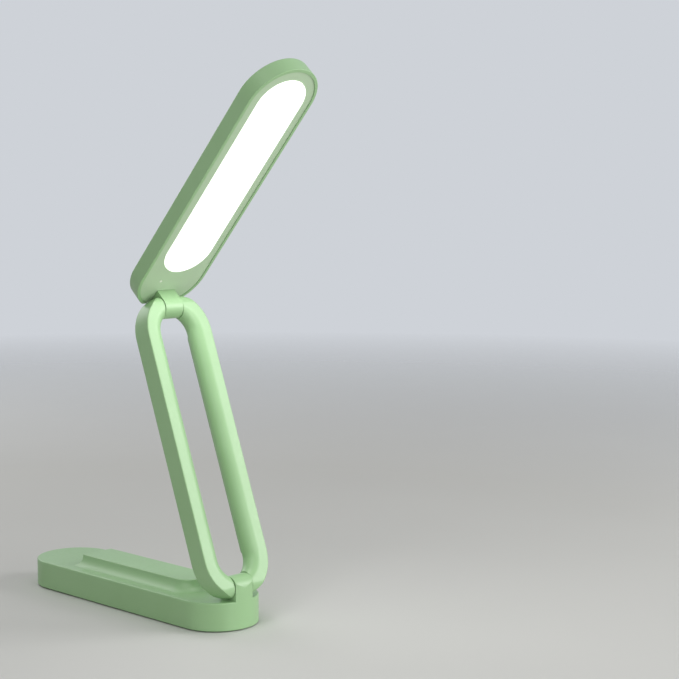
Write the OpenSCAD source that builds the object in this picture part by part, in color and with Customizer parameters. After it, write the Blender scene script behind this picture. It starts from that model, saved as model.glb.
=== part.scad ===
// Folding LED desk lamp: an oval base, a two-legged arm and an oval lamp head.
// Folded, the three lie flat on each other in one outline. Open, the arm leans
// back from the hinge end of the base and the head leans forward over it.
// Origin: on the table under the middle of the base. +X points to the hinge end,
// +Z is up. Lengths are in millimetres, angles in degrees.

/* [Outline] */
// Length of the base, the arm and the head, end to end
lamp_l = 180; // [172:1:196]
// Width of the base, the arm and the head
lamp_w = 47.6; // [47:0.2:52]
// Distance from each hinge axis to the nearest end of the outline
hinge_inset = 7.2; // [7:0.1:7.4]

/* [Pose] */
// Lean of the arm from the vertical, away from the hinge end
arm_lean = 20.4; // [1:0.2:60]
// Lean of the head from the vertical, towards the hinge end
head_lean = 42.2; // [42:0.2:80]
// Widest angle between the arm and the head that the hinge stop allows
head_open_max = 120; // [118:0.5:120]

/* [Base] */
// Height of the base housing without its feet
base_h = 16.2; // [15.8:0.1:22]
// Height that the rubber pad stands out under the base
pad_out = 0.6; // [0.4:0.1:1]
// Thickness of the side wall of the base
base_wall = 2; // [1.6:0.1:2.6]
// Thickness of the top deck of the base
deck_t = 2.2; // [1.6:0.1:2.4]
// Rounding of the top edge of the base
base_edge_r = 0.8; // [0.4:0.1:1.2]
// Height of the raised centre bar above the deck
bar_h = 6.4; // [4.5:0.1:6.6]
// Distance from the middle of the base to the bar's square end
bar_end_x = 44; // [40:0.5:56]
// Distance from the middle of the base to the centre of the bar's round end
bar_round_x = 43; // [40:0.5:58]
// Rounding of the bar's top edge
bar_edge_r = 0.8; // [0.4:0.1:1]
// Thickness of the bottom cover
cover_t = 2.2; // [2:0.1:2.4]

/* [Arm] */
// Thickness of the arm
arm_t = 12.2; // [11.8:0.1:12.4]
// Width of each leg, from the outer face to the inner crown
leg_w = 12.2; // [11.4:0.1:12.6]
// Rounding of the outer edges of the legs
leg_edge_r = 0.5; // [0.3:0.1:0.8]
// Gap between the folded arm and the deck of the base
deck_gap = 1; // [0.9:0.1:1.2]
// Gap between the arm and the folded head
head_gap = 1.2; // [1.1:0.1:1.5]

/* [Head] */
// Thickness of the head
head_t = 9.8; // [9.6:0.1:12]
// Thickness of the back wall of the head
head_back_t = 1.8; // [1.6:0.1:2]
// Width of the lip round the face of the head
lip_w = 2; // [1.6:0.1:2.4]
// Depth of the bezel below the lip
lip_h = 0.4; // [0.3:0.1:0.8]
// Rounding of the back edge of the head
head_edge_r = 1; // [0.6:0.1:1.6]
// Thickness of the bezel
bezel_t = 1.4; // [1.2:0.1:1.5]
// Rounding of the lip's outer edge
lip_edge_r = 0.4; // [0.2:0.1:0.6]
// From the free end of the head to the diffuser window
window_tip_gap = 8; // [7:0.5:12]
// From the hinge end of the head to the diffuser window
window_root_gap = 29; // [28:0.5:36]
// From the sides of the head to the diffuser window
window_side_gap = 7.5; // [7.3:0.1:9]
// Height that the diffuser stands out of the bezel
diffuser_out = 0.3; // [0:0.05:0.5]

/* [Hinges] */
// Radius of the knuckles on the base and the head
knuckle_r = 6.5; // [6.3:0.05:6.5]
// Width of each knuckle between the legs
knuckle_w = 13; // [11:0.2:13]
// Gap between a knuckle and the leg beside it
side_gap = 0.35; // [0.3:0.05:0.5]
// Radius of the hinge pins
pin_r = 2; // [1.6:0.1:2.2]
// Depth that each pin goes into a leg
pin_seat = 7.5; // [5:0.5:8]
// Outer radius of the friction sleeves
sleeve_r = 3.2; // [2.9:0.1:3.6]
// Radial running clearance between a pin and its sleeve
pin_gap = 0.04; // [0.02:0.01:0.08]
// Radius of the side washers
washer_r = 5.8; // [4.6:0.1:5.8]
// Thickness of the side washers
washer_t = 0.8; // [0.6:0.1:1]

/* [Hidden] */
$fn = 96;

// Fixed gaps between pieces that are fitted to each other
fit_gap = 0.02;
seat_gap = 0.05;
trim_gap = 0.15;
part_gap = 1;
// Overlap of two shapes that are joined into one piece, and how far a cut runs past it
weld = 0.5;
over = 1;

// Where the layers lie
outline_r = lamp_w / 2;
axis_span = lamp_l - 2 * hinge_inset;
hinge_x = axis_span / 2;
deck_z = pad_out + base_h;
deck_drop = arm_t / 2 + deck_gap;
face_drop = arm_t / 2 + head_gap;
axis_z = deck_z + deck_drop;
arm_turn = 90 - arm_lean;
head_turn = 180 - arm_lean - head_lean;

// Base housing
cover_z = pad_out + cover_t;
roof_z = deck_z - deck_t;
bar_z = deck_z + bar_h;
bar_side_gap = 0.5;
bar_path_r = outline_r - leg_w + arm_t / 2;
bar_groove_r = arm_t / 2 + bar_side_gap;
bar_groove_z = deck_z + bar_groove_r - seat_gap;
bar_flank_r = bar_path_r - sqrt(pow(bar_groove_r, 2) - pow(bar_groove_z - bar_z + bar_edge_r, 2));
bar_foot_r = 3.5;
bar_core_w = 15;
bar_core_wall = 4;
foot_edge_r = 0.3;

// Fasteners and the pad
screw_end_gap = 27;
screw_side_gap = 7.3;
screw_x = lamp_l / 2 - screw_end_gap;
screw_y = outline_r - screw_side_gap;
screw_r = 1.25;
screw_head_r = 2.3;
screw_head_h = 1.3;
screw_l = 8;
screw_drive_r = 0.9;
screw_drive_h = 0.7;
boss_r = 3.2;
pad_end_gap = 10;
pad_side_gap = 10.3;
pad_l = lamp_l - 2 * pad_end_gap;
pad_w = lamp_w - 2 * pad_side_gap;
pad_t = 1.4;

// Parts inside the base
ballast_side_gap = 3.8;
ballast_l = 2 * (screw_x - boss_r - part_gap);
ballast_w = lamp_w - 2 * (base_wall + ballast_side_gap);
ballast_t = 4;
ballast_z = cover_z + seat_gap;
battery_l = ballast_l / 2 - part_gap;
battery_w = ballast_w - 2 * part_gap;
battery_edge_r = 2;
battery_x = -ballast_l / 4;
battery_z = ballast_z + ballast_t + seat_gap;
battery_h = roof_z - seat_gap - battery_z;
board_side_gap = 0.8;
board_end_gap = 6;
board_l = ballast_l / 2 - 2 * board_end_gap;
board_w = ballast_w - 4 * part_gap;
board_t = 1.2;
board_x = ballast_l / 4;
board_y = outline_r - base_wall - board_side_gap - board_w / 2;
board_lift = 0.4;
board_z = battery_z + board_lift;
board_screw_r = 0.9;
board_screw_l = 4;
board_screw_head_h = 0.3;
board_post_r = 2;
board_hole_inset = 3;
board_hole_x = board_l / 2 - board_hole_inset;
board_hole_y = board_w / 2 - board_hole_inset;
socket_w = 8.94;
socket_h = 3.2;
socket_l = 7.4;
socket_wall = 0.35;
socket_back = 1;
socket_reach = 1.2;
tongue_h = 0.7;
tongue_back = 0.5;
tongue_short = 1;
socket_shift = 8;
socket_x = board_x + socket_shift;
socket_z = board_z + board_t + socket_h / 2;
socket_y = outline_r - base_wall - socket_l + socket_reach;
port_gap = 0.4;
port_depth = base_wall + weld;
touch_x = board_x;
touch_r = 6.5;
touch_t = 0.4;
touch_stalk_r = 0.8;

// Arm
channel_w = 5;
channel_depth = 6.5;
channel_l = lamp_l - lamp_w;
strip_t = 1.2;
strip_lap = 0.8;
wire_r = 0.8;
end_round_gap = 0.02;

// Head, measured in its own frame: the upper hinge axis is at zero,
// +X runs to the free end and +Z from the face to the back
head_mid_x = axis_span / 2;
face_z = face_drop;
back_z = face_z + head_t;
bezel_z = face_z + lip_h;
tray_z = bezel_z + bezel_t;
tray_top_z = back_z - head_back_t;
ledge_w = 1.4;
root_x = 10;
window_l = lamp_l - window_tip_gap - window_root_gap;
window_w = lamp_w - 2 * window_side_gap;
window_x = head_mid_x + (window_root_gap - window_tip_gap) / 2;
flange_w = 2;
flange_t = 1.2;
led_end_gap = 4;
led_side_gap = 3.8;
led_board_l = window_l - 2 * led_end_gap;
led_board_w = window_w - 2 * led_side_gap;
led_board_t = 1;
led_boss_h = 1.1;
led_boss_wall = 0.6;
led_board_z = tray_top_z - led_boss_h - led_board_t;
led_columns = 12;
led_pitch = led_board_l / (led_columns + 1);
led_row_y = led_board_w / 4;
led_size = 3;
led_h = 0.7;
led_screw_inset = 4;
led_screw_x = led_board_l / 2 - led_screw_inset;
led_screw_r = 1;
led_screw_l = 2.7;
led_screw_head_r = 1.9;
led_screw_head_h = 0.6;
reflector_wall = 2;
head_tower_inset = 0.5;
stop_gap = 0.5;
stop_half_w = 13;
lens_x = 14.3;
lens_y = -8.2;
lens_r = 0.9;
lens_out = 0.1;

leaf = [0.66, 0.79, 0.60];
leaf_dark = [0.58, 0.71, 0.53];
opal = [0.97, 0.97, 0.95];
steel = [0.72, 0.73, 0.75];
bronze = [0.72, 0.58, 0.36];
rubber = [0.16, 0.17, 0.16];
board_green = [0.10, 0.36, 0.22];
pack_grey = [0.34, 0.36, 0.40];
copper = [0.78, 0.50, 0.32];

// ---------------------------------------------------------------- shared shapes

// An outline with straight sides and round ends
module oval(l, w) {
    square([l - w, w], center = true);
    for (side = [-1, 1])
        translate([side * (l - w) / 2, 0]) circle(d = w);
}

// A slab with that outline, from height z0 to height z1
module oval_slab(l, w, z0, z1) {
    translate([0, 0, z0]) linear_extrude(z1 - z0) oval(l, w);
}

// A solid whose section, given as children, runs round an oval. The section's x is
// the distance from the line between the two end centres.
module oval_solid(l, w) {
    for (side = [-1, 1])
        translate([side * (l - w) / 2, 0, 0]) rotate_extrude() children();
    rotate([90, 0, 90]) linear_extrude(l - w, center = true) {
        children();
        mirror([1, 0]) children();
    }
}

// A ring whose section runs round the oval and leaves its middle open
module oval_ring(l, w) {
    for (side = [0, 1])
        mirror([side, 0, 0])
            translate([(l - w) / 2, 0, 0]) rotate([0, 0, -90]) rotate_extrude(angle = 180) children();
    rotate([90, 0, 90]) linear_extrude(l - w, center = true) {
        children();
        mirror([1, 0]) children();
    }
}

// A section of width r from height z0 to z1, with its low and high outer corners rounded
module rounded_section(r, z0, z1, low_r, high_r) {
    inner_r = r - max(low_r, high_r);
    translate([0, z0]) square([inner_r, z1 - z0]);
    translate([0, z0 + low_r]) square([r, z1 - z0 - low_r - high_r]);
    translate([0, z0]) square([r - low_r, z1 - z0 - high_r]);
    translate([r - low_r, z0 + low_r]) circle(low_r);
    translate([r - high_r, z1 - high_r]) circle(high_r);
}

// A round bar along Y, centred
module cross_bar(r, l) {
    rotate([90, 0, 0]) cylinder(r = r, h = l, center = true);
}

module at_corners(x, y) {
    for (sx = [-1, 1], sy = [-1, 1])
        translate([sx * x, sy * y, 0]) children();
}

// ---------------------------------------------------------------- placing the bodies

// From the arm's own frame (lower axis at zero, arm along -X) to the lamp
module place_arm() {
    translate([hinge_x, 0, axis_z]) rotate([0, arm_turn, 0]) children();
}

// From the head's own frame to the lamp
module place_head() {
    place_arm() translate([-axis_span, 0, 0]) rotate([0, -head_turn, 0]) children();
}

// ---------------------------------------------------------------- hinge pieces

// The tower and knuckle between the legs. The axis is at zero, the outer end of the
// outline lies towards +X and the tower stands on the plane z = -drop. Its outer face
// lies this inset inside the outline and its top is round.
module hinge_tower(drop, inset) {
    top_w = hinge_inset - knuckle_r - inset;
    intersection() {
        rotate([90, 0, 0]) linear_extrude(knuckle_w, center = true) {
            circle(knuckle_r);
            translate([top_w, 0]) circle(knuckle_r);
            square([top_w, knuckle_r]);
            translate([-knuckle_r, -drop - weld]) square([knuckle_r + hinge_inset, drop + weld]);
        }
        translate([hinge_inset - lamp_l / 2, 0, 0])
            oval_slab(lamp_l - 2 * inset, lamp_w - 2 * inset, -drop - 2 * weld, knuckle_r + weld);
    }
}

// What is bored out of a knuckle: the sleeve's seat and a pocket for each washer
module hinge_bore() {
    cross_bar(sleeve_r + fit_gap, knuckle_w + 2 * weld);
    for (side = [-1, 1])
        translate([0, side * (knuckle_w / 2 + side_gap / 2 - washer_t + weld), 0])
            cross_bar(washer_r + trim_gap, 2 * weld);
}

// A friction sleeve, as long as the knuckle between its washers
module hinge_sleeve() {
    color(bronze) difference() {
        cross_bar(sleeve_r, knuckle_w + side_gap - 2 * washer_t - 2 * seat_gap);
        cross_bar(pin_r + pin_gap, knuckle_w + 2 * weld);
    }
}

// The two washers that keep the knuckle off the legs
module hinge_washers() {
    color(steel) for (side = [-1, 1])
        translate([0, side * (knuckle_w / 2 + side_gap / 2 - washer_t / 2), 0]) difference() {
            cross_bar(washer_r, washer_t - 2 * seat_gap);
            cross_bar(pin_r + pin_gap, 2 * washer_t);
        }
}

module hinge_pin() {
    color(steel) cross_bar(pin_r, knuckle_w + 2 * side_gap + 2 * (pin_seat - seat_gap));
}

// ---------------------------------------------------------------- base

// Half of the bar's section: a rounded top edge over a flank that is hollowed to take
// a leg of the folded arm
module bar_section() {
    difference() {
        union() {
            translate([0, deck_z - weld]) square([bar_path_r, bar_h + weld - bar_edge_r]);
            translate([0, deck_z]) square([bar_flank_r - bar_edge_r, bar_h]);
            translate([bar_flank_r - bar_edge_r, bar_z - bar_edge_r]) circle(bar_edge_r);
        }
        translate([bar_path_r, bar_groove_z]) circle(bar_groove_r);
    }
}

// The raised centre bar, round at the hinge end and square, with a hollow foot, at the other
module centre_bar() {
    far_x = bar_end_x + bar_path_r;
    difference() {
        translate([(bar_round_x - far_x) / 2, 0, 0])
            oval_solid(bar_round_x + far_x + lamp_w, lamp_w) bar_section();
        rotate([90, 0, 0]) linear_extrude(lamp_w, center = true) {
            translate([-bar_end_x - bar_foot_r, deck_z + bar_foot_r - seat_gap]) circle(bar_foot_r);
            translate([-bar_end_x - lamp_w, deck_z + bar_foot_r - seat_gap])
                square([lamp_w, bar_h]);
            translate([-bar_end_x - bar_foot_r - lamp_w, 0]) square([lamp_w, bar_z + over]);
        }
    }
}

// The hollow under the deck and inside the centre bar
module base_hollow() {
    core_start = bar_core_wall - bar_end_x;
    core_end = bar_round_x + bar_core_w / 2;
    oval_slab(lamp_l - 2 * base_wall, lamp_w - 2 * base_wall, 0, roof_z);
    translate([(core_start + core_end) / 2, 0, 0])
        oval_slab(core_end - core_start, bar_core_w, roof_z - weld, bar_z - deck_t);
}

module base_shell() {
    color(leaf) difference() {
        union() {
            difference() {
                union() {
                    oval_solid(lamp_l, lamp_w)
                        rounded_section(outline_r, pad_out, deck_z, foot_edge_r, base_edge_r);
                    centre_bar();
                }
                base_hollow();
            }
            translate([hinge_x, 0, axis_z]) hinge_tower(deck_drop + base_edge_r, fit_gap);
            at_corners(screw_x, screw_y)
                translate([0, 0, cover_z + seat_gap]) cylinder(r = boss_r, h = roof_z - cover_z);
            translate([board_x, board_y, 0]) at_corners(board_hole_x, board_hole_y)
                translate([0, 0, board_z + board_t + seat_gap])
                    cylinder(r = board_post_r, h = roof_z - board_z - board_t);
        }
        translate([hinge_x, 0, axis_z]) hinge_bore();
        at_corners(screw_x, screw_y) cylinder(r = screw_r + fit_gap, h = pad_out + screw_l + over);
        translate([board_x, board_y, 0]) at_corners(board_hole_x, board_hole_y)
            cylinder(r = board_screw_r + fit_gap, h = board_z + board_screw_l);
        translate([socket_x, outline_r, socket_z]) rotate([90, 0, 0])
            linear_extrude(2 * port_depth, center = true)
                oval(socket_w + 2 * port_gap, socket_h + 2 * port_gap);
    }
}

module base_cover() {
    color(leaf_dark) difference() {
        oval_slab(lamp_l - 2 * base_wall - 2 * trim_gap, lamp_w - 2 * base_wall - 2 * trim_gap,
                  pad_out, cover_z);
        at_corners(screw_x, screw_y) {
            cylinder(r = screw_r + trim_gap, h = cover_z + over);
            cylinder(r = screw_head_r + trim_gap, h = pad_out + screw_head_h + seat_gap);
        }
        oval_slab(pad_l + 2 * trim_gap, pad_w + 2 * trim_gap, 0, pad_t + fit_gap);
    }
}

module rubber_pad() {
    color(rubber) oval_slab(pad_l, pad_w, 0, pad_t);
}

module cover_screws() {
    color(steel) at_corners(screw_x, screw_y) translate([0, 0, pad_out]) difference() {
        union() {
            cylinder(r = screw_head_r, h = screw_head_h);
            cylinder(r = screw_r, h = screw_l);
        }
        cylinder(r = screw_drive_r, h = screw_drive_h, $fn = 6);
    }
}

module ballast_plate() {
    color(steel) translate([0, 0, ballast_z])
        linear_extrude(ballast_t) square([ballast_l, ballast_w], center = true);
}

module battery_cell() {
    color(pack_grey) translate([battery_x, 0, battery_z]) linear_extrude(battery_h) {
        square([battery_l, battery_w - 2 * battery_edge_r], center = true);
        square([battery_l - 2 * battery_edge_r, battery_w], center = true);
        at_corners(battery_l / 2 - battery_edge_r, battery_w / 2 - battery_edge_r)
            circle(battery_edge_r);
    }
}

module control_board() {
    color(board_green) translate([board_x, board_y, board_z]) difference() {
        linear_extrude(board_t) square([board_l, board_w], center = true);
        at_corners(board_hole_x, board_hole_y)
            translate([0, 0, -over]) cylinder(r = board_screw_r + trim_gap, h = board_t + 2 * over);
    }
}

module board_screws() {
    head_z = board_z - board_screw_head_h;
    color(steel) translate([board_x, board_y, head_z]) at_corners(board_hole_x, board_hole_y) {
        cylinder(r = 2 * board_screw_r, h = board_screw_head_h);
        cylinder(r = board_screw_r, h = board_screw_l);
    }
}

// Charging inlet: a metal shroud, open at the side of the base, with a tongue in it
module usb_socket() {
    color(steel) translate([socket_x, socket_y, socket_z]) rotate([-90, 0, 0]) {
        difference() {
            linear_extrude(socket_l) oval(socket_w, socket_h);
            translate([0, 0, socket_back]) linear_extrude(socket_l)
                oval(socket_w - 2 * socket_wall, socket_h - 2 * socket_wall);
        }
        translate([0, 0, tongue_back]) linear_extrude(socket_l - tongue_back - tongue_short)
            square([socket_w - socket_h, tongue_h], center = true);
    }
}

// Touch sensor: a disc against the roof of the centre bar and a stalk down to the board
module touch_pad() {
    disc_z = bar_z - deck_t - seat_gap - touch_t;
    stalk_z = board_z + board_t + fit_gap;
    color(copper) translate([touch_x, 0, 0]) {
        translate([0, 0, disc_z]) cylinder(r = touch_r, h = touch_t);
        translate([0, 0, stalk_z]) cylinder(r = touch_stalk_r, h = disc_z - stalk_z + touch_t / 2);
    }
}

module lower_sleeve() {
    translate([hinge_x, 0, axis_z]) hinge_sleeve();
}

module lower_washers() {
    translate([hinge_x, 0, axis_z]) hinge_washers();
}

// ---------------------------------------------------------------- arm, in its own frame

// Section of a leg: flat outside, half round inside
module leg_section() {
    half_t = arm_t / 2;
    inner_r = outline_r - leg_w;
    translate([inner_r + half_t, 0]) circle(half_t);
    translate([inner_r + half_t, -half_t]) square([leg_w - half_t - leg_edge_r, arm_t]);
    translate([inner_r + half_t, leg_edge_r - half_t])
        square([leg_w - half_t, arm_t - 2 * leg_edge_r]);
    for (side = [-1, 1])
        translate([outline_r - leg_edge_r, side * (half_t - leg_edge_r)]) circle(leg_edge_r);
}

// The two legs as one ring, open where the knuckles go
module leg_ring() {
    round_t = arm_t + 2 * end_round_gap;
    difference() {
        intersection() {
            translate([-axis_span / 2, 0, 0]) oval_ring(lamp_l, lamp_w) leg_section();
            translate([-axis_span / 2, 0, 0]) rotate([90, 0, 0])
                linear_extrude(lamp_w + 2 * over, center = true) oval(axis_span + round_t, round_t);
        }
        for (end = [0, -axis_span]) {
            translate([end - outline_r / 2, -knuckle_w / 2 - side_gap, -arm_t])
                cube([outline_r, knuckle_w + 2 * side_gap, 2 * arm_t]);
            translate([end, 0, 0])
                cross_bar(pin_r + fit_gap, knuckle_w + 2 * side_gap + 2 * pin_seat);
        }
    }
}

// One leg: side is -1 for the near one and 1 for the far one
module leg(side) {
    path_y = side * bar_path_r;
    color(leaf) difference() {
        intersection() {
            leg_ring();
            translate([-axis_span / 2, side * outline_r, 0])
                cube([lamp_l + 2 * over, lamp_w, 2 * arm_t], center = true);
        }
        translate([-axis_span / 2, path_y, -arm_t / 2]) {
            linear_extrude(2 * channel_depth, center = true)
                oval(channel_l, channel_w);
            linear_extrude(2 * strip_t, center = true)
                oval(channel_l + 2 * strip_lap, channel_w + 2 * strip_lap);
        }
    }
}

// The strip that closes the wire channel at the back of a leg
module leg_cover(side) {
    color(leaf_dark) translate([-axis_span / 2, side * bar_path_r, -arm_t / 2])
        linear_extrude(strip_t - fit_gap)
            oval(channel_l + 2 * strip_lap - 2 * seat_gap, channel_w + 2 * strip_lap - 2 * seat_gap);
}

module near_leg() {
    place_arm() leg(-1);
}

module far_leg() {
    place_arm() leg(1);
}

module near_leg_cover() {
    place_arm() leg_cover(-1);
}

module far_leg_cover() {
    place_arm() leg_cover(1);
}

// The two wires in the near leg's channel, lying on its floor
module arm_wires() {
    wire_l = channel_l - channel_w;
    place_arm() color(rubber) for (side = [-1, 1])
        translate([-axis_span / 2, side * (wire_r + seat_gap) - bar_path_r,
                   channel_depth - arm_t / 2 - wire_r - seat_gap])
            rotate([0, 90, 0]) cylinder(r = wire_r, h = wire_l, center = true);
}

module lower_pin() {
    place_arm() hinge_pin();
}

module upper_pin() {
    place_arm() translate([-axis_span, 0, 0]) hinge_pin();
}

// ---------------------------------------------------------------- head, in its own frame

// Moves the middle of an oval from zero to the middle of the head
module at_head() {
    translate([head_mid_x, 0, 0]) children();
}

// The space that the end of the base takes up when the head is opened as far as it
// goes over the folded arm. It is cut out of the hinge end of the head.
module stop_relief() {
    rotate([0, head_open_max, 0])
        translate([-hinge_inset - stop_gap, -stop_half_w, -3 * outline_r])
            cube([2 * outline_r, 2 * stop_half_w, 3 * outline_r - deck_drop + stop_gap]);
}

// The housing's outside: sharp lip at the face, rounded edge at the back
module head_body() {
    at_head() oval_solid(lamp_l, lamp_w)
        rounded_section(outline_r, face_z, back_z, lip_edge_r, head_edge_r);
}

// The tray inside the lip, which stops short of the solid root of the tower
module head_tray() {
    ledge_l = lamp_l - 2 * (lip_w + ledge_w);
    ledge_width = lamp_w - 2 * (lip_w + ledge_w);
    at_head() oval_slab(lamp_l - 2 * lip_w, lamp_w - 2 * lip_w, face_z - over, tray_z);
    difference() {
        at_head() oval_slab(ledge_l, ledge_width, face_z, tray_top_z);
        translate([root_x - lamp_w, -lamp_w, 0]) cube([lamp_w, 2 * lamp_w, back_z]);
    }
}

module head_shell() {
    place_head() color(leaf) difference() {
        union() {
            difference() {
                head_body();
                head_tray();
            }
            // The tower's own frame has the outer end towards +X and stands below the axis
            rotate([0, 180, 0]) hinge_tower(tray_z, head_tower_inset);
            translate([window_x, 0, tray_top_z - led_boss_h]) at_corners(led_screw_x, 0)
                cylinder(r = led_screw_head_r + led_boss_wall, h = led_boss_h + weld);
        }
        hinge_bore();
        stop_relief();
        translate([window_x, 0, led_board_z]) at_corners(led_screw_x, 0)
            cylinder(r = led_screw_r + fit_gap, h = led_screw_l + seat_gap);
    }
}

module bezel() {
    inset = lip_w + seat_gap;
    opening_gap = 2 * trim_gap;
    place_head() color(leaf) difference() {
        at_head() oval_slab(lamp_l - 2 * inset, lamp_w - 2 * inset, bezel_z, tray_z - seat_gap);
        translate([window_x, 0, 0])
            oval_slab(window_l + opening_gap, window_w + opening_gap, face_z, back_z);
        translate([-outline_r, -knuckle_w / 2 - trim_gap, 0])
            cube([outline_r + knuckle_r + trim_gap, knuckle_w + opening_gap, back_z]);
        translate([lens_x, lens_y, 0]) cylinder(r = lens_r + fit_gap, h = back_z);
        stop_relief();
    }
}

// The opal window, a little proud of the bezel, with a flange behind it
module diffuser() {
    place_head() color(opal) translate([window_x, 0, 0]) {
        oval_slab(window_l, window_w, bezel_z - diffuser_out, tray_z + weld);
        oval_slab(window_l + 2 * flange_w, window_w + 2 * flange_w, tray_z, tray_z + flange_t);
    }
}

// The white frame that keeps the diffuser off the light board
module reflector_frame() {
    low = tray_z + flange_t + seat_gap;
    high = led_board_z - seat_gap;
    inner_l = led_board_l + 2 * trim_gap;
    inner_w = led_board_w + 2 * trim_gap;
    place_head() color(opal) translate([window_x, 0, 0]) difference() {
        oval_slab(inner_l + 2 * reflector_wall, inner_w + 2 * reflector_wall, low, high);
        oval_slab(led_board_l - 2 * reflector_wall, led_board_w - 2 * reflector_wall,
                  low - over, high + over);
    }
}

module led_board() {
    place_head() color(board_green) translate([window_x, 0, 0]) difference() {
        oval_slab(led_board_l, led_board_w, led_board_z, led_board_z + led_board_t);
        at_corners(led_screw_x, 0) cylinder(r = led_screw_r + trim_gap, h = back_z);
    }
}

module leds() {
    first_x = -(led_columns - 1) * led_pitch / 2;
    place_head() color(opal) translate([window_x, 0, led_board_z - led_h - fit_gap])
        for (column = [0 : led_columns - 1], side = [-1, 1])
            translate([first_x + column * led_pitch, side * led_row_y, 0])
                linear_extrude(led_h) square(led_size, center = true);
}

module led_screws() {
    place_head() color(steel) translate([window_x, 0, led_board_z]) for (side = [-1, 1])
        translate([side * led_screw_x, 0, 0]) {
            translate([0, 0, -led_screw_head_h]) cylinder(r = led_screw_head_r, h = led_screw_head_h);
            translate([0, 0, -led_screw_head_h / 2])
                cylinder(r = led_screw_r, h = led_screw_l + led_screw_head_h / 2);
        }
}

module status_lens() {
    place_head() color(opal) translate([lens_x, lens_y, bezel_z - lens_out])
        cylinder(r = lens_r, h = bezel_t + lens_out - seat_gap);
}

module upper_sleeve() {
    place_head() hinge_sleeve();
}

module upper_washers() {
    place_head() hinge_washers();
}

base_shell();
base_cover();
rubber_pad();
cover_screws();
ballast_plate();
battery_cell();
control_board();
board_screws();
usb_socket();
touch_pad();
lower_sleeve();
lower_washers();
near_leg();
far_leg();
near_leg_cover();
far_leg_cover();
arm_wires();
lower_pin();
upper_pin();
head_shell();
bezel();
diffuser();
reflector_frame();
led_board();
leds();
led_screws();
status_lens();
upper_sleeve();
upper_washers();
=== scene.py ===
"""Folding desk lamp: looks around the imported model. Lengths in metres."""

import math

import bpy
from mathutils import Matrix, Vector


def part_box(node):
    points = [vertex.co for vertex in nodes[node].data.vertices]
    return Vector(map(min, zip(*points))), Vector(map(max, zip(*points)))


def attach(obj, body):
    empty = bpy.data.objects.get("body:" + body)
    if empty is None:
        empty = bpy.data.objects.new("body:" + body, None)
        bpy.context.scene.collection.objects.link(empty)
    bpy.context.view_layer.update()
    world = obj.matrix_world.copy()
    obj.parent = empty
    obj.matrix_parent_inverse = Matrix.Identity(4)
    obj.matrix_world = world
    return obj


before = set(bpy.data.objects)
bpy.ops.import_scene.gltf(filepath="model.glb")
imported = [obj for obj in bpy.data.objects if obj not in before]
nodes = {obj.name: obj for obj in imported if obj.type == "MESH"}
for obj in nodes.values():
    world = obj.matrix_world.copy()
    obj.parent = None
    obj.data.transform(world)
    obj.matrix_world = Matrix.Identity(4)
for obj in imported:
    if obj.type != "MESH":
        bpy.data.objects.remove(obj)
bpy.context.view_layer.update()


# ------------------------------------------------------------------ materials

def srgb(r, g, b):
    """A display colour, 0 to 255 each, as the linear colour that the shaders take."""
    def lin(c):
        c /= 255.0
        return c / 12.92 if c <= 0.04045 else ((c + 0.055) / 1.055) ** 2.4
    return (lin(r), lin(g), lin(b), 1.0)


# most of a noise lies between these values
NOISE_LOW = 0.3
NOISE_HIGH = 0.7
NOISE_ROUGHNESS = 0.55
BEVEL_SAMPLES = 6


class Shader:
    """A node material with one Principled shader."""

    def __init__(self, name):
        self.mat = bpy.data.materials.new(name)
        self.mat.use_nodes = True
        self.tree = self.mat.node_tree
        self.main = self.tree.nodes["Principled BSDF"]
        self.coords = self.tree.nodes.new("ShaderNodeTexCoord")

    def set(self, **values):
        """Fixed values on the shader's own sockets, with _ for a space in a name."""
        for key, value in values.items():
            self.main.inputs[key.replace("_", " ")].default_value = value

    def link(self, a, b):
        self.tree.links.new(a, b)

    def noise(self, size, detail=3.0, stretch=(1, 1, 1)):
        """Noise with features of about this size in metres."""
        place = self.tree.nodes.new("ShaderNodeMapping")
        place.inputs["Scale"].default_value = [s / size for s in stretch]
        self.link(self.coords.outputs["Object"], place.inputs["Vector"])
        tex = self.tree.nodes.new("ShaderNodeTexNoise")
        tex.inputs["Scale"].default_value = 1.0
        tex.inputs["Detail"].default_value = detail
        tex.inputs["Roughness"].default_value = NOISE_ROUGHNESS
        self.link(place.outputs["Vector"], tex.inputs["Vector"])
        return tex.outputs["Fac"]

    def remap(self, source, low, high, start=NOISE_LOW, end=NOISE_HIGH):
        """A value that runs from low to high while its source runs from start to end."""
        node = self.tree.nodes.new("ShaderNodeMapRange")
        node.inputs["From Min"].default_value = start
        node.inputs["From Max"].default_value = end
        node.inputs["To Min"].default_value = low
        node.inputs["To Max"].default_value = high
        self.link(source, node.inputs["Value"])
        return node.outputs["Result"]

    def blend(self, factor, a, b):
        """The colour from a to b by this factor."""
        node = self.tree.nodes.new("ShaderNodeMix")
        node.data_type = "RGBA"
        node.inputs["A"].default_value = a
        node.inputs["B"].default_value = b
        self.link(factor, node.inputs["Factor"])
        return node.outputs["Result"]

    def soft_edges(self, radius):
        """A normal that rounds sharp edges by this radius."""
        node = self.tree.nodes.new("ShaderNodeBevel")
        node.samples = BEVEL_SAMPLES
        node.inputs["Radius"].default_value = radius
        return node.outputs["Normal"]

    def bump(self, height, depth, strength, after=None):
        """A normal with relief of this depth, on top of another normal if one is given."""
        node = self.tree.nodes.new("ShaderNodeBump")
        node.inputs["Distance"].default_value = depth
        node.inputs["Strength"].default_value = strength
        self.link(height, node.inputs["Height"])
        if after is not None:
            self.link(after, node.inputs["Normal"])
        return node.outputs["Normal"]


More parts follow.
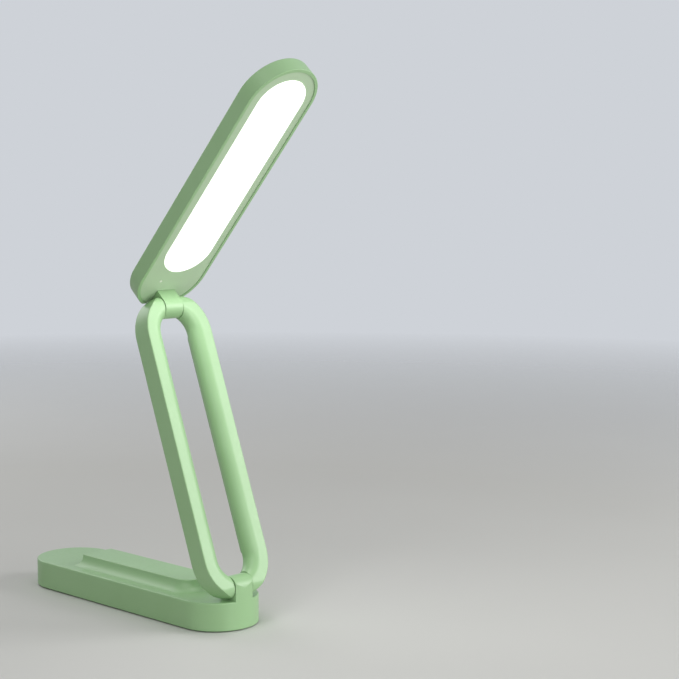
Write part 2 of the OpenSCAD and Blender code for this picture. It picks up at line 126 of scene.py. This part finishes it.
PLASTIC_IOR = 1.58
PLASTIC_TONE_PATCH = 0.035
PLASTIC_GLOSS_PATCH = 0.0016
PLASTIC_GRAIN = 0.00022
PLASTIC_GRAIN_DEPTH = 0.000006
PLASTIC_WAVE = 0.006
PLASTIC_WAVE_DEPTH = 0.00003


def plastic(name, light, deep, rough=(0.34, 0.42), edge=0.0004):
    """Moulded plastic: a faint drift of tone, a fine eroded grain and a soft gloss."""
    s = Shader(name)
    s.set(Specular_IOR_Level=0.5, IOR=PLASTIC_IOR)
    drift = s.remap(s.noise(PLASTIC_TONE_PATCH, 2.0), 0.0, 1.0)
    s.link(s.blend(drift, light, deep), s.main.inputs["Base Color"])
    s.link(s.remap(s.noise(PLASTIC_GLOSS_PATCH), *rough), s.main.inputs["Roughness"])
    fine = s.noise(PLASTIC_GRAIN, 2.0)
    wave = s.noise(PLASTIC_WAVE, 1.0)
    soft = s.bump(wave, PLASTIC_WAVE_DEPTH, 0.5, s.soft_edges(edge))
    s.link(s.bump(fine, PLASTIC_GRAIN_DEPTH, 0.8, soft), s.main.inputs["Normal"])
    return s.mat


METAL_TONE_PATCH = 0.002
METAL_MARK = 0.0004
METAL_MARK_DEPTH = 0.000008
METAL_BRIGHTER = 1.08


def metal(name, colour, rough=(0.25, 0.38), along=(0.06, 1, 1)):
    """Turned or brushed metal with fine marks, drawn out where along is small."""
    s = Shader(name)
    s.set(Metallic=1.0)
    bright = tuple(min(1.0, c * METAL_BRIGHTER) for c in colour[:3]) + (1.0,)
    drift = s.remap(s.noise(METAL_TONE_PATCH, 3.0, along), 0, 1)
    s.link(s.blend(drift, colour, bright), s.main.inputs["Base Color"])
    marks = s.noise(METAL_MARK, 4.0, along)
    s.link(s.remap(marks, *rough), s.main.inputs["Roughness"])
    s.link(s.bump(marks, METAL_MARK_DEPTH, 0.6), s.main.inputs["Normal"])
    return s.mat


RUBBER_TONE_PATCH = 0.004
RUBBER_GLOSS_PATCH = 0.0012
RUBBER_GRAIN = 0.0005
RUBBER_GRAIN_DEPTH = 0.00003
RUBBER_ROUGH = (0.68, 0.85)


def rubber(name, colour):
    """Dull rubber or wire cover with a soft, uneven grain."""
    s = Shader(name)
    s.set(Specular_IOR_Level=0.3)
    lighter = tuple(c * 1.6 + 0.004 for c in colour[:3]) + (1.0,)
    drift = s.remap(s.noise(RUBBER_TONE_PATCH), 0, 1)
    s.link(s.blend(drift, colour, lighter), s.main.inputs["Base Color"])
    s.link(s.remap(s.noise(RUBBER_GLOSS_PATCH), *RUBBER_ROUGH), s.main.inputs["Roughness"])
    s.link(s.bump(s.noise(RUBBER_GRAIN), RUBBER_GRAIN_DEPTH, 0.8), s.main.inputs["Normal"])
    return s.mat


TRACKS_PER_METRE = 260.0
TRACK_EDGE = (0.03, 0.08)
TRACK_DEPTH = 0.00003
MASK_GREEN = srgb(24, 74, 46)
TRACK_GREEN = srgb(46, 112, 72)
MASK_GLOSS_PATCH = 0.002
MASK_ROUGH = (0.25, 0.4)


def circuit(name):
    """Solder mask with paler tracks under it."""
    s = Shader(name)
    cells = s.tree.nodes.new("ShaderNodeTexVoronoi")
    cells.feature = "DISTANCE_TO_EDGE"
    cells.distance = "EUCLIDEAN"
    cells.inputs["Scale"].default_value = TRACKS_PER_METRE
    s.link(s.coords.outputs["Object"], cells.inputs["Vector"])
    edge = s.remap(cells.outputs["Distance"], 1.0, 0.0, *TRACK_EDGE)
    s.link(s.blend(edge, MASK_GREEN, TRACK_GREEN), s.main.inputs["Base Color"])
    s.link(s.remap(s.noise(MASK_GLOSS_PATCH, 2.0), *MASK_ROUGH), s.main.inputs["Roughness"])
    s.link(s.bump(edge, TRACK_DEPTH, 0.5), s.main.inputs["Normal"])
    return s.mat


OPAL_LIGHT = srgb(250, 250, 248)
OPAL_DEEP = srgb(242, 243, 240)
OPAL_TONE_PATCH = 0.05
OPAL_GLOW_PATCH = 0.02
OPAL_WEAKEST = 0.97
OPAL_GRAIN = 0.0004
OPAL_GRAIN_DEPTH = 0.00001


def glowing(name, colour, strength):
    """Opal window, lit from behind, a touch weaker in soft patches."""
    s = Shader(name)
    s.set(Roughness=0.35, Emission_Color=colour)
    drift = s.remap(s.noise(OPAL_TONE_PATCH, 2.0), 0, 1)
    s.link(s.blend(drift, OPAL_LIGHT, OPAL_DEEP), s.main.inputs["Base Color"])
    glow_drift = s.remap(s.noise(OPAL_GLOW_PATCH, 2.0), strength * OPAL_WEAKEST, strength)
    s.link(glow_drift, s.main.inputs["Emission Strength"])
    s.link(s.bump(s.noise(OPAL_GRAIN, 2.0), OPAL_GRAIN_DEPTH, 0.5), s.main.inputs["Normal"])
    return s.mat


LEAF = (srgb(158, 197, 146), srgb(153, 193, 140))
# the bezel's green is the leaf green made paler: painted light from the window that the
# bezel frames
LEAF_PAINTED_WINDOW_LIGHT = (srgb(186, 211, 177), srgb(182, 208, 172))
LEAF_TRIM = (srgb(151, 188, 139), srgb(146, 184, 133))

# edge is the rounding of the part's edges, smaller beside narrow seams
leaf = plastic("leaf_green_plastic", *LEAF)
leaf_painted_window_light = plastic("leaf_green_painted_window_light", *LEAF_PAINTED_WINDOW_LIGHT, edge=0.0001)
leaf_head = plastic("leaf_green_head", *LEAF, edge=0.0002)
leaf_leg = plastic("leaf_green_leg", *LEAF, edge=0.0008)
leaf_trim = plastic("leaf_green_trim", *LEAF_TRIM, rough=(0.5, 0.6))
opal = glowing("opal_window", srgb(255, 255, 252), 0.95)
white_frame = plastic("white_frame", srgb(240, 240, 236), srgb(233, 233, 228))
lens_white = plastic("lens_white", srgb(238, 245, 230), srgb(233, 241, 224),
                     rough=(0.15, 0.22))
black_rubber = rubber("black_rubber", srgb(34, 36, 34))
wire_rubber = rubber("wire_cover", srgb(44, 44, 46))
steel = metal("steel", srgb(186, 188, 192))
dark_steel = metal("dark_steel", srgb(78, 80, 80), rough=(0.45, 0.6))
bronze = metal("bronze", srgb(176, 138, 88), rough=(0.3, 0.42))
board = circuit("solder_mask")
pouch = metal("foil_pouch", srgb(150, 154, 162), rough=(0.35, 0.5), along=(1, 1, 1))

LOOKS = {
    leaf: ["base_shell"],
    leaf_leg: ["near_leg", "far_leg"],
    leaf_head: ["head_shell"],
    leaf_painted_window_light: ["bezel"],
    leaf_trim: ["base_cover", "near_leg_cover", "far_leg_cover"],
    opal: ["diffuser"],
    white_frame: ["reflector_frame", "leds"],
    lens_white: ["status_lens"],
    black_rubber: ["rubber_pad"],
    wire_rubber: ["arm_wires"],
    steel: ["cover_screws", "ballast_plate", "board_screws", "usb_socket", "lower_pin",
            "upper_pin", "led_screws"],
    dark_steel: ["lower_washers", "upper_washers"],
    bronze: ["touch_pad", "lower_sleeve", "upper_sleeve"],
    board: ["control_board", "led_board"],
    pouch: ["battery_cell"],
}
for look, names in LOOKS.items():
    for name in names:
        obj = nodes[name]
        if not obj.material_slots:
            obj.data.materials.append(look)
        for slot in obj.material_slots:
            slot.material = look

# ------------------------------------------------------------------ floor and light

FLOOR_Z = -0.0001
FLOOR_R = 2.4
FLOOR_SIDES = 128
FLOOR_TONE_PATCH = 0.3
FLOOR_LIGHT = srgb(214, 214, 211)
FLOOR_DEEP = srgb(211, 211, 208)
# the floor fades into the backdrop between these distances from the lamp
FLOOR_FADE = (0.45, 1.6)


def make_floor():
    verts = [(0.0, 0.0, FLOOR_Z)]
    for i in range(FLOOR_SIDES):
        turn = 2 * math.pi * i / FLOOR_SIDES
        verts.append((FLOOR_R * math.cos(turn), FLOOR_R * math.sin(turn), FLOOR_Z))
    faces = [(0, i + 1, (i + 1) % FLOOR_SIDES + 1) for i in range(FLOOR_SIDES)]
    mesh = bpy.data.meshes.new("floor")
    mesh.from_pydata(verts, [], faces)
    obj = bpy.data.objects.new("floor", mesh)
    bpy.context.scene.collection.objects.link(obj)
    s = Shader("floor_matte")
    s.set(Roughness=0.7, Specular_IOR_Level=0.2)
    drift = s.remap(s.noise(FLOOR_TONE_PATCH, 2.0), 0, 1)
    s.link(s.blend(drift, FLOOR_LIGHT, FLOOR_DEEP), s.main.inputs["Base Color"])
    length = s.tree.nodes.new("ShaderNodeVectorMath")
    length.operation = "LENGTH"
    s.link(s.coords.outputs["Object"], length.inputs[0])
    fade = s.remap(length.outputs["Value"], 1.0, 0.0, *FLOOR_FADE)
    s.link(fade, s.main.inputs["Alpha"])
    mesh.materials.append(s.mat)


FILL_COLOUR = (1.0, 1.0, 0.97, 1.0)
FILL_STRENGTH = 0.18
BACKDROP = srgb(206, 210, 216)


def make_world():
    """A weak fill on the lamp, and the backdrop's colour where a ray sees it."""
    world = bpy.data.worlds.new("studio")
    bpy.context.scene.world = world
    world.use_nodes = True
    tree = world.node_tree
    tree.nodes.clear()
    out = tree.nodes.new("ShaderNodeOutputWorld")
    fill = tree.nodes.new("ShaderNodeBackground")
    fill.inputs["Color"].default_value = FILL_COLOUR
    fill.inputs["Strength"].default_value = FILL_STRENGTH
    seen = tree.nodes.new("ShaderNodeBackground")
    seen.inputs["Color"].default_value = BACKDROP
    seen.inputs["Strength"].default_value = 1.0
    path = tree.nodes.new("ShaderNodeLightPath")
    first = tree.nodes.new("ShaderNodeMath")
    first.operation = "MAXIMUM"
    second = tree.nodes.new("ShaderNodeMath")
    second.operation = "MAXIMUM"
    mix = tree.nodes.new("ShaderNodeMixShader")
    tree.links.new(path.outputs["Is Camera Ray"], first.inputs[0])
    tree.links.new(path.outputs["Is Glossy Ray"], first.inputs[1])
    tree.links.new(first.outputs[0], second.inputs[0])
    tree.links.new(path.outputs["Is Transmission Ray"], second.inputs[1])
    tree.links.new(second.outputs[0], mix.inputs["Fac"])
    tree.links.new(fill.outputs[0], mix.inputs[1])
    tree.links.new(seen.outputs[0], mix.inputs[2])
    tree.links.new(mix.outputs[0], out.inputs["Surface"])


def area_light(name, where, aim, size, watts):
    """A white rectangular light at one place, facing another."""
    data = bpy.data.lights.new(name, "AREA")
    data.shape = "RECTANGLE"
    data.size, data.size_y = size
    data.energy = watts
    obj = bpy.data.objects.new(name, data)
    bpy.context.scene.collection.objects.link(obj)
    obj.location = where
    obj.rotation_euler = (Vector(aim) - Vector(where)).to_track_quat("-Z", "Y").to_euler()
    return obj


# each studio light: name, place, the point that it faces, size and watts
STUDIO_LIGHTS = (
    ("key", (1.25, -0.10, 0.25), (0.05, 0.0, 0.16), (0.8, 0.5), 4.2),
    ("left", (0.45, -0.85, 0.95), (0.05, 0.0, 0.20), (0.7, 0.7), 3.6),
    ("sheen", (0.95, 0.88, 0.50), (0.05, 0.0, 0.16), (0.6, 0.7), 8.0),
    ("top", (0.1, 0.1, 1.3), (0.0, 0.0, 0.05), (1.6, 1.4), 2.5),
    ("back", (-0.95, 0.10, 0.70), (0.03, 0.0, 0.16), (0.8, 0.8), 3.0),
)

make_floor()
make_world()
for light in STUDIO_LIGHTS:
    area_light(*light)

# the light that the window throws, on the head so that it turns with it
FACE_TILT = math.radians(42.2)
GLOW_SIZE = (0.030, 0.130)
GLOW_OUT = 0.003
GLOW_WATTS = 0.12
face_way = Vector((math.cos(FACE_TILT), 0.0, -math.sin(FACE_TILT)))
window_low, window_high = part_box("diffuser")
window_mid = (window_low + window_high) / 2
glow_place = window_mid + face_way * GLOW_OUT
glow = area_light("window_glow", glow_place, window_mid + face_way, GLOW_SIZE, GLOW_WATTS)
glow.visible_camera = False
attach(glow, "head")

# ------------------------------------------------------------------ camera

# solved on the photograph: its width and the focal length in its pixels, then the place
PHOTO_W = 679.0
FOCAL_PX = 1699.5
CAM_POS = Vector((0.77959, -0.64109, 0.26558))
CAM_YAW = math.radians(43.85)
CAM_PITCH = math.radians(6.10)
SENSOR_MM = 36.0

camera_data = bpy.data.cameras.new("camera")
camera_data.sensor_width = SENSOR_MM
camera_data.lens = FOCAL_PX / PHOTO_W * SENSOR_MM
camera_data.clip_start = 0.01
camera_data.clip_end = 20.0
camera = bpy.data.objects.new("camera", camera_data)
bpy.context.scene.collection.objects.link(camera)
ahead = Vector((
    -math.sin(CAM_YAW) * math.cos(CAM_PITCH),
    math.cos(CAM_YAW) * math.cos(CAM_PITCH),
    -math.sin(CAM_PITCH)))
right = Vector((math.cos(CAM_YAW), math.sin(CAM_YAW), 0.0))
above = right.cross(ahead)
camera.matrix_world = Matrix((
    (right.x, above.x, -ahead.x, CAM_POS.x),
    (right.y, above.y, -ahead.y, CAM_POS.y),
    (right.z, above.z, -ahead.z, CAM_POS.z),
    (0.0, 0.0, 0.0, 1.0)))
bpy.context.scene.camera = camera

bpy.context.scene.view_settings.view_transform = "Standard"
